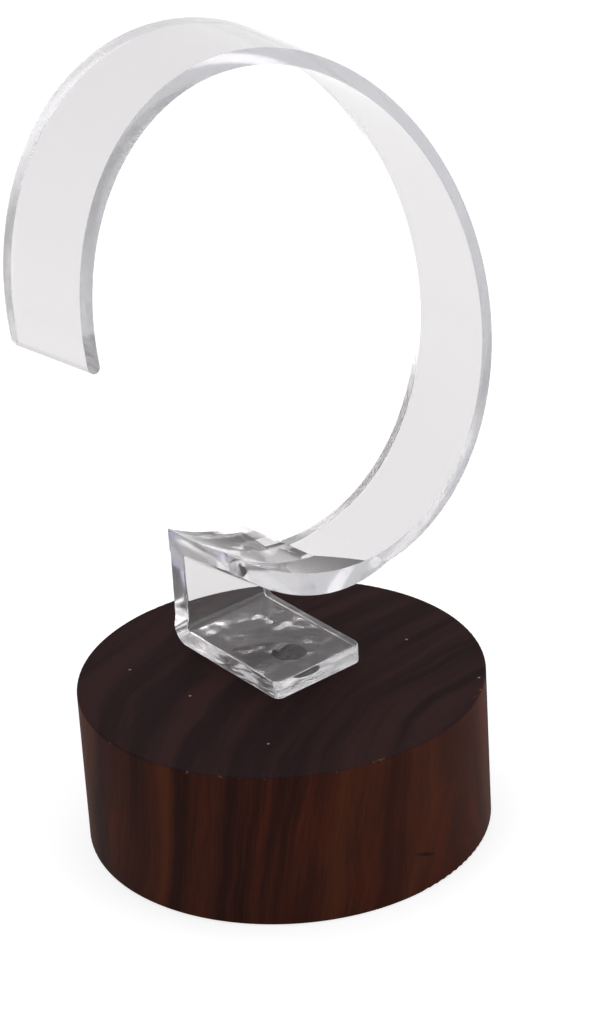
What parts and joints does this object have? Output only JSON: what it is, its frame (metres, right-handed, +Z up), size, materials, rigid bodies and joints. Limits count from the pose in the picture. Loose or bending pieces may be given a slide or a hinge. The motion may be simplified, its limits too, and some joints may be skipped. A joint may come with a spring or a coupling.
{
  "type": "watch stand",
  "caption": "Round dark wood base with a clear moulded C-shaped ring that leans back and holds a closed watch strap for display.",
  "frame": {"origin": "centre of the round base's underside, where the stand rests", "axes": "+Z up; the ring's axis runs along Y with its open front toward -Y, and the gap of the C is on the -X side"},
  "size_m": [0.0813, 0.0693, 0.102],
  "materials": {
    "dark_stained_wood": "satin",
    "clear_plastic": "polished",
    "clear_cement": "gloss"
  },
  "bodies": {
    "root": {"wood_base": "dark_stained_wood", "c_ring_holder": "clear_plastic", "cement_spot": "clear_cement"}
  },
  "joints": []
}
